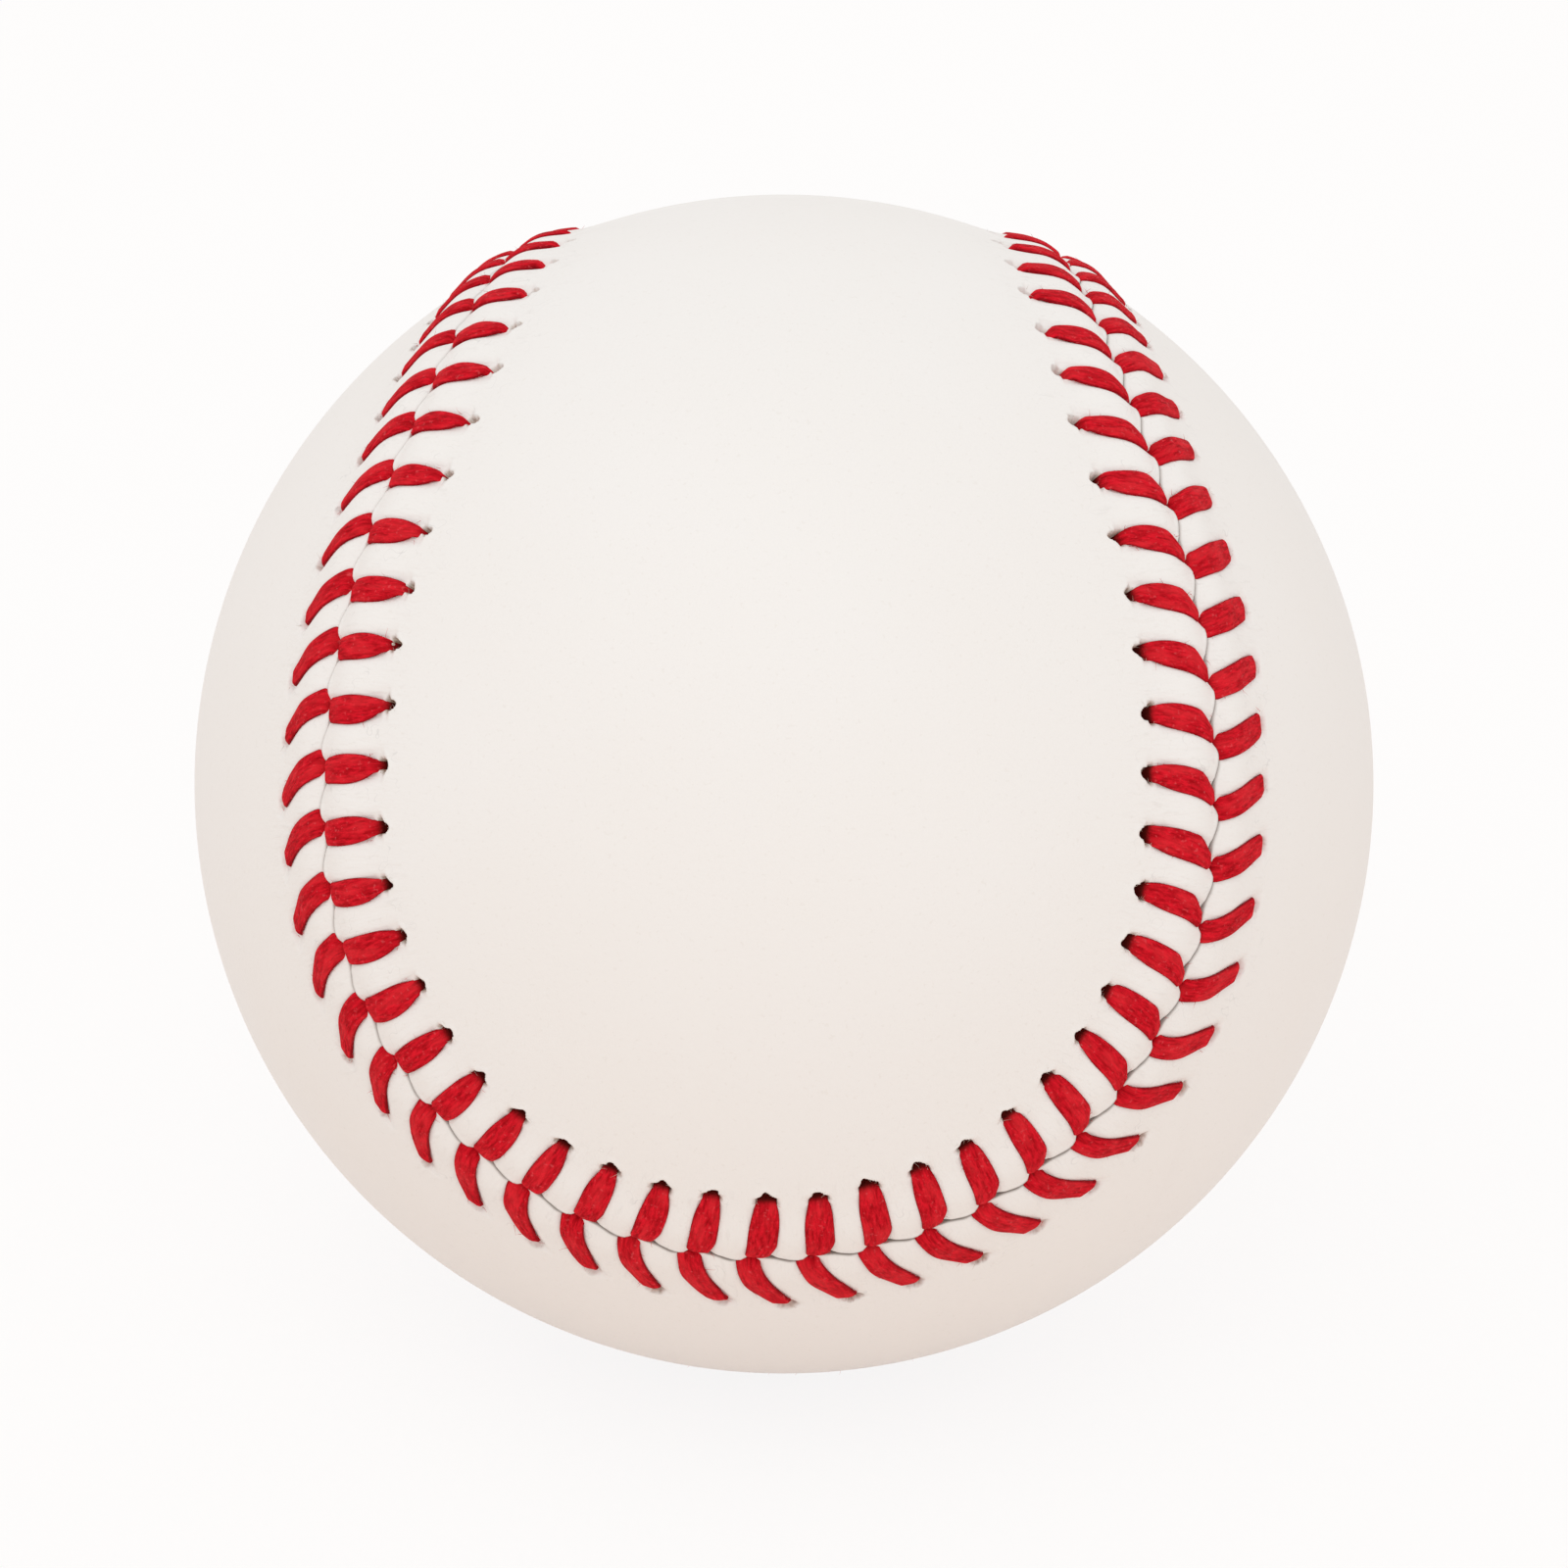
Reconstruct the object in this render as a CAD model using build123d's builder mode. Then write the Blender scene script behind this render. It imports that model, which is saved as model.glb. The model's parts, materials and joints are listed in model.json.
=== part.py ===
from build123d import *
import os
from math import acos, atan, atan2, cos, degrees, hypot, pi, radians, sin, sqrt, tan

# A regulation baseball, from its cork centre out to its laced leather cover, in millimetres.
# The origin is the middle of the ball. +Z is up, +X is to the right and -Y faces the viewer.

# The centre of the ball, called the pill
core_diameter = 20.6        # ball of ground cork and rubber
black_wall = 3.97           # two half shells of black rubber
washer_thickness = 0.8      # red rubber ring that seals the joint between the half shells
red_wall = 2.38             # two moulded cups of red rubber

# The windings, each a thickness of yarn
gray_four_ply_wall = 14.67
white_three_ply_wall = 1.77
gray_three_ply_wall = 2.27
finishing_wall = 0.51       # fine white poly-cotton
cement_wall = 0.07          # rubber cement that the cover is stuck down with

# The cover
leather = 1.2
bed_clearance = 0.03        # between the leather and the cement it lies on
waist_width = 33.0          # narrowest part of a panel, measured over the leather
bridge_length = 21.9        # stretch of seam between two lobes that runs straight over the ball
welt_width = 17.0           # strip along the seam where the lacing lifts the leather
welt_root = 0.1             # how far the edges of that strip reach into the layer they rise from
seam_lean = 45.0            # how far the ball is tipped back from waist upright, in degrees

# The lacing
stitch_count = 108
thread_diameter = 0.7
thread_clearance = 0.05     # between the thread and what it passes
hole_clearance = 0.3        # round the thread in the holes of the cover
groove_depth = 0.4          # how far the lacing presses into the windings under the seam
hole_reach = 5.0            # from the seam to the holes
entry_lag = 0.75            # how far a stitch enters the seam behind its hole in panel A
entry_slip = 0.93           # how far that lag grows and shrinks from one side of a lobe to the other
hole_b_lead = 1.0           # how far a stitch's hole in panel B is ahead of its hole in panel A
hole_b_slip = 1.4           # how far that lead grows and shrinks from one side of a lobe to the other
leg_spacing = 1.1           # between the two legs of a stitch where they enter the seam
leg_lift = 0.2              # how far the ends of a leg stand off, so that its middle clears the leather
thread_bend = 0.5           # radius of the thread's turns
middle_lead = 1.6           # where the middle of the thread crosses the seam, past the last stitch
tail_share = 0.5            # how far each end of the thread runs towards the hole that is already full

# Radii of the layers, from the inside out
core_radius = core_diameter / 2
black_radius = core_radius + black_wall
red_radius = black_radius + red_wall
gray_four_ply_radius = red_radius + gray_four_ply_wall
white_three_ply_radius = gray_four_ply_radius + white_three_ply_wall
gray_three_ply_radius = white_three_ply_radius + gray_three_ply_wall
finishing_radius = gray_three_ply_radius + finishing_wall
cement_radius = finishing_radius + cement_wall
bed_radius = cement_radius + bed_clearance
ball_radius = bed_radius + leather

# The seam is four lobe arcs, each on a circle round its lobe, joined by four bridges along great circles.
# These angles are in radians, seen from the middle of the ball.
waist = waist_width / ball_radius / 2
bridge = bridge_length / ball_radius / 2
lobe = atan((sqrt(2) * cos(bridge) - sin(waist)) / cos(waist))
lobe_tilt = pi / 2 - waist - lobe
middle_reach = cos(lobe_tilt) / sqrt(2)
climb = atan2(sin(lobe_tilt), middle_reach)
climb += acos(middle_reach * tan(bridge) / hypot(middle_reach, sin(lobe_tilt)))

# Axes of the lobe that faces the viewer and of the one to the right, and the waist axis
lean = radians(seam_lean)
front = Vector(0, -cos(lean), sin(lean))
right = Vector(1, 0, 0)
upper = front.cross(right)
centre = Vector(0, 0, 0)


def bridge_end(lobe_axis, next_axis, up):
    """Unit vector to the point where a lobe's arc runs into the bridge to the next lobe"""
    middle = (lobe_axis + next_axis) / sqrt(2)
    heading = (next_axis - lobe_axis) / sqrt(2) * cos(climb) + up * sin(climb)
    return middle * cos(bridge) - heading * sin(bridge)


def turn_between(axis, start, end):
    """Angle in degrees from start round axis to end"""
    across = axis.cross(start)
    return degrees(atan2(across.dot(end), across.cross(axis).dot(end))) % 360


def seam_arcs():
    """The seam's arcs in order, as (axis, start, turn, length), with panel A on the left of the run"""
    arcs = []
    lobe_axis, next_axis, up = front, right, upper
    for index in range(4):
        lobe_centre = lobe_axis * cos(lobe_tilt) - up * sin(lobe_tilt)
        axis = lobe_centre if index % 2 == 0 else -lobe_centre
        start = bridge_end(lobe_axis, -next_axis, up)
        end = bridge_end(lobe_axis, next_axis, up)
        turn = turn_between(axis, start, end)
        arcs.append((axis, start, turn, radians(turn) * ball_radius * sin(lobe)))
        far_end = bridge_end(next_axis, lobe_axis, -up)
        arcs.append((end.cross(far_end).normalized(), end, degrees(2 * bridge), bridge_length))
        lobe_axis, next_axis, up = next_axis, -lobe_axis, -up
    return arcs


arcs = seam_arcs()
seam_length = sum(length for axis, start, turn, length in arcs)
lobe_tip = arcs[0][3] / 2
stitch_pitch = seam_length / stitch_count
stitches = range(1, stitch_count + 1)


def section_plane(axis, spot):
    """Plane across the seam at a spot on one of its arcs: x points outward and y towards panel A"""
    return Plane(origin=centre, x_dir=spot, z_dir=spot.cross(axis))


def beside_seam(distance, offset, radius):
    """Point at a distance along the seam, an offset from it towards panel A and a radius from the middle"""
    distance %= seam_length
    for axis, start, turn, length in arcs:
        if distance < length:
            break
        distance -= length
    spot = start.rotate(Axis(centre, axis), turn * distance / length)
    angle = offset / ball_radius
    return section_plane(axis, spot).from_local_coords((radius * cos(angle), radius * sin(angle), 0))


def strip_height(middle_height, offset):
    """Height at an offset from the seam of a raised or sunken strip that is middle_height high at the seam"""
    return middle_height - (middle_height + welt_root) * (2 * offset / welt_width) ** 2


# The thread lies in its groove under the cover, and lifts the leather as far as it must
thread_radius = thread_diameter / 2
hole_radius = thread_radius + hole_clearance
under_radius = cement_radius - strip_height(groove_depth, hole_reach) + thread_radius + thread_clearance
lift_share = (2 * (hole_reach - hole_radius) / welt_width) ** 2
welt_rise = (under_radius + thread_radius - bed_radius + welt_root * lift_share) / (1 - lift_share)
leg_radius = ball_radius + thread_radius + leg_lift
crest_radius = leg_radius + welt_rise + thread_radius
seam_gap = thread_diameter + 2 * thread_clearance


def strip_edge(radius, side):
    """Edge of the strip along the seam, in a section plane"""
    angle = side * welt_width / 2 / ball_radius
    return radius * cos(angle), radius * sin(angle)


def welt_section(radius):
    """What the leather rises by along the seam, over a sphere of a radius"""
    with BuildLine() as outline:
        left_edge = strip_edge(radius - welt_root, -1)
        right_edge = strip_edge(radius - welt_root, 1)
        ThreePointArc(left_edge, (radius + welt_rise, 0), right_edge)
        Line(right_edge, left_edge)
    make_face(outline.edges())


def groove_section(radius):
    """What the lacing's groove takes from a sphere of a radius"""
    with BuildLine() as outline:
        left_edge = strip_edge(radius + welt_root, -1)
        right_edge = strip_edge(radius + welt_root, 1)
        ThreePointArc(left_edge, (radius - groove_depth, 0), right_edge)
        Polyline(right_edge, (crest_radius, right_edge[1]), (crest_radius, left_edge[1]), left_edge)
    make_face(outline.edges())


def gap_section(radius):
    """The gap between the panels, from inside a sphere of a radius to above the leather"""
    depth = 2 * (crest_radius - radius)
    with Locations((radius, 0)):
        Rectangle(depth, seam_gap)


def follow_seam(draw_section, radius, mode):
    """Carry a section all the way round the seam"""
    for axis, start, turn, length in arcs:
        with BuildSketch(section_plane(axis, start)) as section:
            draw_section(radius)
        revolve(section.sketch, axis=Axis(centre, axis), revolution_arc=turn, mode=mode)


def slip(index):
    """Where a stitch lies between one side of a lobe, -1, and the other, 1"""
    return sin(4 * pi * index * stitch_pitch / seam_length)


def hole_place(index, side):
    """Distance along the seam and offset from it of a stitch's hole, in panel A for side 1 and B for -1"""
    distance = lobe_tip + index * stitch_pitch
    if side < 0:
        distance += hole_b_lead - hole_b_slip * slip(index)
    return distance, side * hole_reach


def entry_place(index, side):
    """Distance along the seam where the leg of a stitch on one panel enters it"""
    return hole_place(index, 1)[0] - entry_lag - entry_slip * slip(index) + side * leg_spacing / 2


def leg_points(index, side):
    """Corners of the thread from under a hole, up and over the leather, and down into the seam"""
    distance, offset = hole_place(index, side)
    entry = entry_place(index, side)
    return [
        beside_seam(distance, offset, under_radius),
        beside_seam(distance, offset, leg_radius + strip_height(welt_rise, offset)),
        beside_seam(entry, 0, leg_radius + welt_rise),
        beside_seam(entry, 0, under_radius),
    ]


def needle_points(side):
    """Corners of one needle's run from the last stitch back to the first, changing panel at each stitch"""
    points = []
    for index in reversed(stitches):
        points += leg_points(index, side)
        side = -side
    full_hole = beside_seam(*hole_place(0, side), under_radius)
    points.append(points[-1] + (full_hole - points[-1]) * tail_share)
    return points


def thread_route():
    """The thread's line from end to end, as straight runs joined by arcs"""
    middle = beside_seam(hole_place(stitch_count, 1)[0] + middle_lead - entry_lag, 0, under_radius)
    corners = needle_points(1)[::-1] + [middle] + needle_points(-1)
    edges = []
    run_start = corners[0]
    for before, corner, after in zip(corners, corners[1:], corners[2:]):
        back = (before - corner).normalized()
        ahead = (after - corner).normalized()
        half_angle = radians(back.get_angle(ahead)) / 2
        cut = thread_bend / tan(half_angle)
        inward = (back + ahead).normalized() * (thread_bend / sin(half_angle) - thread_bend)
        edges.append(Edge.make_line(run_start, corner + back * cut))
        edges.append(Edge.make_three_point_arc(corner + back * cut, corner + inward, corner + ahead * cut))
        run_start = corner + ahead * cut
    edges.append(Edge.make_line(run_start, corners[-1]))
    return Wire(edges)


os.makedirs("parts", exist_ok=True)

with BuildPart() as cork_core:
    Sphere(core_radius)
cork_core.part.label = "cork_core"
export_step(cork_core.part, "parts/cork_core.step")

# The black half shells close on the core, with the washer in the joint between them
for name, keep, face in (("upper", Keep.TOP, 1), ("lower", Keep.BOTTOM, -1)):
    with BuildPart() as black_shell:
        Sphere(black_radius)
        Sphere(core_radius, mode=Mode.SUBTRACT)
        split(bisect_by=Plane.XY.offset(face * washer_thickness / 2), keep=keep)
    black_shell.part.label = "black_shell_" + name
    export_step(black_shell.part, "parts/black_shell_" + name + ".step")

with BuildPart() as core_washer:
    with BuildSketch():
        Circle(black_radius)
    extrude(amount=washer_thickness / 2, both=True)
    Sphere(core_radius, mode=Mode.SUBTRACT)
    Sphere(black_radius, mode=Mode.INTERSECT)
core_washer.part.label = "core_washer"
export_step(core_washer.part, "parts/core_washer.step")

# The red cups meet on a joint at right angles to the black one
for name, keep in (("right", Keep.TOP), ("left", Keep.BOTTOM)):
    with BuildPart() as red_cup:
        Sphere(red_radius)
        Sphere(black_radius, mode=Mode.SUBTRACT)
        split(bisect_by=Plane.YZ, keep=keep)
    red_cup.part.label = "red_cup_" + name
    export_step(red_cup.part, "parts/red_cup_" + name + ".step")

wool_windings = (
    ("gray_four_ply_winding", red_radius, gray_four_ply_radius),
    ("white_three_ply_winding", gray_four_ply_radius, white_three_ply_radius),
    ("gray_three_ply_winding", white_three_ply_radius, gray_three_ply_radius),
)
for name, inner_radius, outer_radius in wool_windings:
    with BuildPart() as winding:
        Sphere(outer_radius)
        Sphere(inner_radius, mode=Mode.SUBTRACT)
    winding.part.label = name
    export_step(winding.part, "parts/" + name + ".step")

# The lacing presses a groove into the finishing winding and the cement on it
with BuildPart() as wound_ball:
    Sphere(finishing_radius)
    follow_seam(groove_section, finishing_radius, Mode.SUBTRACT)

with BuildPart() as finishing_winding:
    add(wound_ball.part)
    Sphere(gray_three_ply_radius, mode=Mode.SUBTRACT)
finishing_winding.part.label = "finishing_winding"
export_step(finishing_winding.part, "parts/finishing_winding.step")

with BuildPart() as cement_coat:
    Sphere(cement_radius)
    follow_seam(groove_section, cement_radius, Mode.SUBTRACT)
    add(wound_ball.part, mode=Mode.SUBTRACT)
cement_coat.part.label = "cement_coat"
export_step(cement_coat.part, "parts/cement_coat.step")

# The cover is one shell with a welt along the seam, cut apart by the gap into its two panels
with BuildPart() as cover:
    Sphere(ball_radius)
    follow_seam(welt_section, ball_radius, Mode.ADD)
    Sphere(bed_radius, mode=Mode.SUBTRACT)
    follow_seam(welt_section, bed_radius, Mode.SUBTRACT)
    follow_seam(gap_section, bed_radius, Mode.SUBTRACT)

panels = cover.part.solids().sort_by(Axis(centre, upper), reverse=True)
for name, side, panel in (("a", 1, panels[0]), ("b", -1, panels[1])):
    hole_centres = [beside_seam(*hole_place(index, side), ball_radius) for index in stitches]
    with BuildPart() as cover_panel:
        add(panel)
        with Locations([Plane(origin=spot, z_dir=spot) for spot in hole_centres]):
            Cylinder(hole_radius, 2 * (crest_radius - bed_radius), mode=Mode.SUBTRACT)
    cover_panel.part.label = "cover_panel_" + name
    export_step(cover_panel.part, "parts/cover_panel_" + name + ".step")

route = thread_route()
with BuildPart() as lacing_thread:
    with BuildSketch(Plane(origin=route @ 0, z_dir=route % 0)):
        Circle(thread_radius)
    sweep(path=route, clean=False)
lacing_thread.part.label = "lacing_thread"
export_step(lacing_thread.part, "parts/lacing_thread.step")

print("seam", round(seam_length, 1), "mm, stitches every", round(stitch_pitch, 2), "mm")
print("thread", round(route.length), "mm long")
print("thread volume", lacing_thread.part.volume, "section times length", pi * thread_radius ** 2 * route.length)
print("ball", 2 * ball_radius, "mm across the leather, welt", welt_rise, "mm high")
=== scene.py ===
import json
from math import acos, asin, atan, atan2, cos, hypot, pi, radians, sin, sqrt, tan
from types import SimpleNamespace

import bpy
import numpy as np
from mathutils import Matrix, Vector
from mathutils.geometry import delaunay_2d_cdt


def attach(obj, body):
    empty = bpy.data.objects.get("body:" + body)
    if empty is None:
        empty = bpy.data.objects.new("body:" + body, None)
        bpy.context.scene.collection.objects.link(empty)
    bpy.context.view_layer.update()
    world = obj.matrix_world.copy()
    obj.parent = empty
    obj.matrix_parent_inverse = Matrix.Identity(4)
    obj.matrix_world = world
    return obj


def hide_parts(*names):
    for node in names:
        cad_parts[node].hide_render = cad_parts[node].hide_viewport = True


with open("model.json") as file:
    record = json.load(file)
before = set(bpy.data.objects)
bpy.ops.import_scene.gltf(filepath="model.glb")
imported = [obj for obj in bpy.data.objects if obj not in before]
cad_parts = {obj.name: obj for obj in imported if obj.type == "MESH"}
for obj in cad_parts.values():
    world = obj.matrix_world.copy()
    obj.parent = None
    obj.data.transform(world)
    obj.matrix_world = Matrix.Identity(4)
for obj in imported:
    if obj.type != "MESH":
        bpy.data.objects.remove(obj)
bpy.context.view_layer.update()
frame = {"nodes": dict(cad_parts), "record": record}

# A laced leather ball. Lengths are in millimetres and angles in radians; a mesh is made in metres.
MM = 0.001
rng = np.random.default_rng(108)

# The ball and its seam, as the solids have them
ball_radius = -frame["record"]["mounts"][0]["pos_m"][2] / MM
leather = 1.2
waist_width = 33.0
bridge_length = 21.9
seam_lean = radians(45)
stitch_count = 108

# How the lacing was pulled. A row of four sizes is for the left of panel A's lobes, their tips, their right
# and the waist. A shift is given with the angle of the seam where it is greatest, in degrees.
entry_lag = 0.75            # from a stitch's place in the seam to its hole in panel A
entry_slip = 0.93           # how much that changes round a lobe
leg_spacings = (0.75, 0.75, 1.0, 0.9)       # between the legs of a stitch, in the seam
hole_drifts = (-0.2, 0.0, 0.0, 0.1)         # of all the holes of a stitch, along the seam
hole_shifts = ((0.35, -135), (0.2, -45), (-0.1, 30), (-0.1, 150))
lead_middle = 0.7           # from a stitch's hole in panel A to its hole in panel B, along the seam
lead_swing = 1.45           # how much that changes round a lobe
lead_calm = 0.75            # share of that change which is missing at the waist
left_lead_shift = (-0.3, -135)
right_lead_shift = (0.35, 50)
tip_stretch = 0.2           # how far panel A's edge lies outside the seam's arcs, at the tips of its lobes
left_stretch = (0.7, -50)   # and at their corners
right_stretch = (0.2, 50)
waist_stretch = 0.35        # and at the waist
upper_left = -150           # angles of the seam at the photograph's upper corners
upper_right = 140
left_thinning = 0.18        # how much narrower the legs are there, as a share of their width
right_widening = 0.08
hole_chance = 0.1           # chance differences of a hole's place and of its reach
reach_chance = 0.14
entry_chance = 0.07         # and of a leg's place in the seam
width_chance = 0.07         # and of its width, as a share of that
bow_chance = 0.1
taper_chance = 0.08

# The leather along the seam
welt_heights = (0.65, 0.42, 0.68, 0.62)     # of the two rolls of leather, one each side of the seam
welt_crest = 1.6            # from the seam to the highest line of a roll
welt_spread = 1.9           # from there to where it is about a third as high
welt_reach = 9.5            # from the seam to where the leather lies flat on the ball
lip_radius = 0.2            # roundness of a panel's edge, at its roundest
lip_gap = 0.02              # between the panels, between two stitches
lip_spread = 0.22           # how far a leg pushes the edge of its panel aside
scallop = 0.2               # how far the line between the panels swings from side to side
scallop_lean = 0.08         # how far that line lies towards panel B
scallop_phase = 0.72        # where it lies nearest to panel B, between one stitch and the next
dent_depth = 0.28           # under a leg
dent_share = 0.95           # half width of that dent, as a share of the leg's
dent_end = (0.1, 0.5)       # where it starts to fade past the leg's hole, and where it has gone
edge_reach = 1.2            # how far from the seam the panels' edges are pulled about
edge_grip = 0.6             # half the length of edge that one leg pushes aside
gap_shade_reach = 0.1            # of the painted shade along the line between the panels
worked_reach = (4.5, 8.5)   # where the wrinkles beside the seam start to fade, and where they have gone

# The holes. A place in a hole is a share of the way from its middle to its edge.
pit_taper = 0.3             # how much narrower a hole's far end is
pit_waves = (0.12, 0.07)    # how far its outline swings in and out, three times and five times round
pit_wall = (0.72, 1.05)     # where its wall starts and ends
pit_raw_end = (0.9, 1.15)   # where the raw leather ends
pit_dark_end = (0.3, 0.95)  # and the painted shade
pit_rim = 0.05              # height of the edge pushed up round it
pit_rim_place = 1.3
pit_rim_spread = 0.3

# The thread, pressed flat on the leather
under_half_width = 0.48     # of the thread under the leather
leaf_tip = 0.55             # share of a leg over which it widens, from its hole on
leaf_curve = 2.2            # how round its edges are there, from 1 for straight ones
thread_half_height = 0.24
thread_fullness = 0.85      # power of its section: 1 for an ellipse, and less for a fuller form
thread_sink = 0.06          # how far the thread's middle lies under the leather beside it
under_depth = 1.32          # from the outside of the leather to the thread's middle under it
hole_dive_length = 0.24
seam_dive_length = 0.16
entry_offset = 0.15         # where a leg goes down, beside the middle of the seam
ply_count = 5
ply_relief = 0.015
ply_twist = 0.3             # turns of the plies in a millimetre
seam_shade = 0.3            # how dark it gets where it goes down into the seam


# The seam

waist = waist_width / ball_radius / 2
bridge = bridge_length / ball_radius / 2
lobe = atan((sqrt(2) * cos(bridge) - sin(waist)) / cos(waist))
lobe_tilt = pi / 2 - waist - lobe
middle_reach = cos(lobe_tilt) / sqrt(2)
climb = atan2(sin(lobe_tilt), middle_reach)
climb += acos(middle_reach * tan(bridge) / hypot(middle_reach, sin(lobe_tilt)))
front = np.array([0, -cos(seam_lean), sin(seam_lean)])
right = np.array([1.0, 0, 0])
upper = np.cross(front, right)


def unit(vectors):
    """Vectors at length 1"""
    return vectors / np.linalg.norm(vectors, axis=-1, keepdims=True)


def bridge_end(lobe_axis, next_axis, up):
    """Unit vector to the point where a lobe's arc runs into the bridge to the next lobe"""
    middle = (lobe_axis + next_axis) / sqrt(2)
    heading = (next_axis - lobe_axis) / sqrt(2) * cos(climb) + up * sin(climb)
    return middle * cos(bridge) - heading * sin(bridge)


def seam_arcs():
    """The seam's arcs in order, as axes, starts, turns and lengths, with panel A on the left of the run"""
    arcs = []
    lobe_axis, next_axis, up = front, right, upper
    for index in range(4):
        lobe_centre = lobe_axis * cos(lobe_tilt) - up * sin(lobe_tilt)
        axis = lobe_centre if index % 2 == 0 else -lobe_centre
        start = bridge_end(lobe_axis, -next_axis, up)
        end = bridge_end(lobe_axis, next_axis, up)
        across = np.cross(axis, start)
        turn = atan2(across @ end, np.cross(across, axis) @ end) % (2 * pi)
        arcs.append((axis, start, turn, turn * ball_radius * sin(lobe)))
        far_end = bridge_end(next_axis, lobe_axis, -up)
        arcs.append((unit(np.cross(end, far_end)), end, 2 * bridge, bridge_length))
        lobe_axis, next_axis, up = next_axis, -lobe_axis, -up
    return [np.array(column) for column in zip(*arcs)]


arc_axes, arc_starts, arc_turns, arc_lengths = seam_arcs()
arc_ends = np.cumsum(arc_lengths)
seam_length = arc_ends[-1]
lobe_tip = arc_lengths[0] / 2
stitch_pitch = seam_length / stitch_count


def seam_frame(along):
    """Outward direction, direction towards panel A and direction of the run, at distances along the seam"""
    along = np.mod(along, seam_length)
    arc = np.minimum(np.searchsorted(arc_ends, along, side="right"), len(arc_ends) - 1)
    axis = arc_axes[arc]
    start = arc_starts[arc]
    angle = arc_turns[arc] * (1 - (arc_ends[arc] - along) / arc_lengths[arc])
    on_axis = axis * np.sum(axis * start, axis=-1, keepdims=True)
    outward = on_axis + (start - on_axis) * np.cos(angle)[..., None]
    outward += np.cross(axis, start) * np.sin(angle)[..., None]
    ahead = unit(np.cross(axis, outward))
    return outward, np.cross(outward, ahead), ahead


def turn_at(along):
    """Place along the seam as an angle, 0 at the tips of panel A's lobes and pi at the waist between"""
    return 4 * pi * (along - lobe_tip) / seam_length


def near(turn, degrees):
    """1 at an angle of the seam, and 0 from a quarter turn beside it on"""
    return np.clip(np.cos(turn - radians(degrees)), 0, 1) ** 2


def stretch(along):
    """How far the edge of panel A lies outside the seam's arcs"""
    turn = turn_at(along)
    at_corners = sum(size * near(turn, degrees) ** 2 for size, degrees in (left_stretch, right_stretch))
    return tip_stretch * near(turn, 0) + at_corners + waist_stretch * near(turn, 180)


def beside_seam(along, offset, radius):
    """Points at distances along the seam, offsets from it towards panel A and radii from the middle"""
    outward, towards_a = seam_frame(along)[:2]
    angle = np.asarray((offset - stretch(along)) / ball_radius)[..., None]
    return (outward * np.cos(angle) + towards_a * np.sin(angle)) * np.asarray(radius)[..., None]


def smooth_step(low, high, values):
    """0 below low, 1 above high, and a smooth rise between"""
    share = np.clip((values - low) / (high - low), 0, 1)
    return share * share * (3 - 2 * share)


def round_seam(distances):
    """Distances along the seam, the short way round"""
    return np.mod(distances + seam_length / 2, seam_length) - seam_length / 2


def by_turn(turn, left, tip, right, waist):
    """A size from its values left of panel A's lobes, at their tips, right of them and at the waist"""
    ends = (tip + waist) / 2
    sides = (left + right) / 2
    size = (ends + sides) / 2 + (tip - waist) / 2 * np.cos(turn)
    return size + (right - left) / 2 * np.sin(turn) + (ends - sides) / 2 * np.cos(2 * turn)


def welt(along, offset):
    """Height of the leather over the ball, at distances along the seam and offsets from it"""
    height = by_turn(turn_at(along), *welt_heights)
    return height * np.exp(-((np.abs(offset) - welt_crest) / welt_spread) ** 2)


# The stitches, each with a leg on panel A, side 1, and one on panel B, side -1. Hand lacing is a little
# uneven.

stitch = np.arange(stitch_count)
lobe_turn = 4 * pi * stitch / stitch_count
slip = np.sin(lobe_turn)
drift = by_turn(lobe_turn, *hole_drifts)
drift += sum(size * near(lobe_turn, degrees) for size, degrees in hole_shifts)
hole_a_place = lobe_tip + stitch * stitch_pitch + drift
entry_place = hole_a_place - entry_lag - entry_slip * slip


def uneven(size):
    """One small chance difference for each stitch"""
    return rng.uniform(-size, size, stitch_count)


def by_place(left, tip, right, waist):
    """A size of each stitch, from its values at those four places"""
    return by_turn(lobe_turn, left, tip, right, waist)


def make_legs(side, hole, reach):
    """Where the legs of one panel start and end"""
    legs = SimpleNamespace(side=side)
    legs.hole = hole + uneven(hole_chance)
    legs.reach = reach + uneven(reach_chance)
    legs.run = entry_place + side * by_place(*leg_spacings) / 2 + uneven(entry_chance) - legs.hole
    legs.ragged = rng.uniform(0, 2 * pi, (2, stitch_count))
    return legs


legs_a = make_legs(1, hole_a_place + by_place(0.3, 0.0, 0.0, 0.0), by_place(4.4, 5.0, 4.75, 3.9))
corner_width = 1 - left_thinning * near(lobe_turn, upper_left)
corner_width += right_widening * near(lobe_turn, upper_right)
legs_a.half_width = by_place(0.9, 0.88, 0.84, 0.88) * corner_width * (1 + uneven(width_chance))
legs_a.bow = by_place(0.0, 0.03, 0.12, 0.0) + uneven(bow_chance)
legs_a.hole_share = by_place(0.25, 0.58, 0.5, 0.25) + uneven(taper_chance)
legs_a.tip_lean = by_place(-0.3, 0.0, 0.0, 0.0)
legs_a.seam_share = by_place(0.85, 1.0, 1.0, 0.85)
legs_a.round_off = by_place(0.0, 0.2, 0.45, 0.1)
legs_a.pit_reach = legs_a.reach + by_place(0.35, 0.15, 0.2, 0.5)
wide_corner = 0.1 * near(lobe_turn, -50)
legs_a.pit_width = by_place(0.34, 0.6, 0.5, 0.3) * (1 + uneven(0.1)) + wide_corner
legs_a.pit_length = by_place(0.5, 0.55, 0.66, 0.55) * (1 + uneven(0.12))
legs_a.pit_depth = by_place(0.7, 1.0, 1.0, 0.3)
# less painted shade in the holes, and less raw brown, at the upper right where the light falls into them
lit_corner = 0.2 * near(lobe_turn, upper_right) ** 2
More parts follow.
